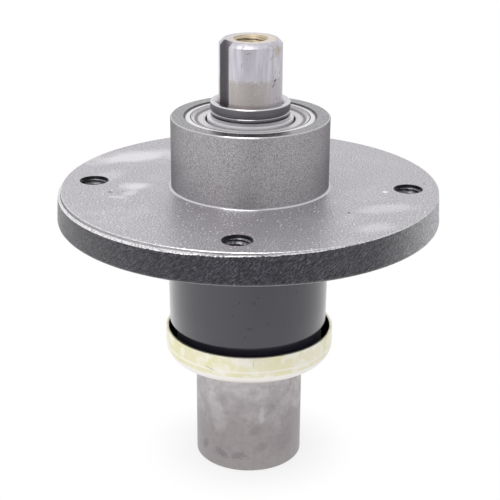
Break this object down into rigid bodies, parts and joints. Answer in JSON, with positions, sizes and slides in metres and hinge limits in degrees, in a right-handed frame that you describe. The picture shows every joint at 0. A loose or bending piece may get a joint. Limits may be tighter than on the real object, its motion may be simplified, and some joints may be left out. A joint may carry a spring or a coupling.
{
  "type": "mower deck spindle",
  "caption": "Mower deck spindle: a round bolt flange on a cast housing, with a keyed shaft in shielded ball bearings, a pulley stub above, a blade end below and a dust cup.",
  "frame": {"origin": "on the shaft's axis, in the plane of the flange's turned upper face", "axes": "+Z along the shaft towards the pulley stub; the flange's tapped holes lie on X and Y"},
  "size_m": [0.154, 0.154, 0.1793],
  "materials": {
    "cast_iron": "turned where it mounts, black paint where as cast",
    "shaft_steel": "turned and ground, lightly oiled",
    "race_steel": "ground bearing steel",
    "ball_steel": "polished bearing steel",
    "cage_steel": "pressed strip",
    "shield_steel": "pressed strip",
    "collar_steel": "ground, polished",
    "spacer_steel": "plain tube",
    "zinc_plate": "pressed, yellow zinc plate"
  },
  "bodies": {
    "housing": {"spindle_housing": "cast_iron", "upper_outer_race": "race_steel", "upper_shield_top": "shield_steel", "upper_shield_bottom": "shield_steel", "lower_outer_race": "race_steel", "lower_shield_top": "shield_steel", "lower_shield_bottom": "shield_steel"},
    "shaft": {"spindle_shaft": "shaft_steel", "upper_inner_race": "race_steel", "lower_inner_race": "race_steel", "top_collar": "collar_steel", "inner_spacer": "spacer_steel", "lower_collar": "collar_steel", "dust_cup": "zinc_plate"},
    "upper_cage": {"upper_balls": "ball_steel", "upper_cage_top_half": "cage_steel", "upper_cage_bottom_half": "cage_steel", "upper_cage_rivets": "cage_steel"},
    "lower_cage": {"lower_balls": "ball_steel", "lower_cage_top_half": "cage_steel", "lower_cage_bottom_half": "cage_steel", "lower_cage_rivets": "cage_steel"}
  },
  "joints": [
    {"name": "shaft_spin", "type": "hinge", "parent": "housing", "child": "shaft", "pos_m": [0, 0, 0], "axis": [0, 0, 1], "continuous": true},
    {"name": "upper_cage_spin", "type": "hinge", "parent": "housing", "child": "upper_cage", "pos_m": [0, 0, 0.021], "axis": [0, 0, 1], "continuous": true},
    {"name": "lower_cage_spin", "type": "hinge", "parent": "housing", "child": "lower_cage", "pos_m": [0, 0, -0.0632], "axis": [0, 0, 1], "continuous": true}
  ],
  "couplings": [
    {"joint": "upper_cage_spin", "follows": "shaft_spin", "ratio": 0.39742},
    {"joint": "lower_cage_spin", "follows": "shaft_spin", "ratio": 0.39742}
  ]
}
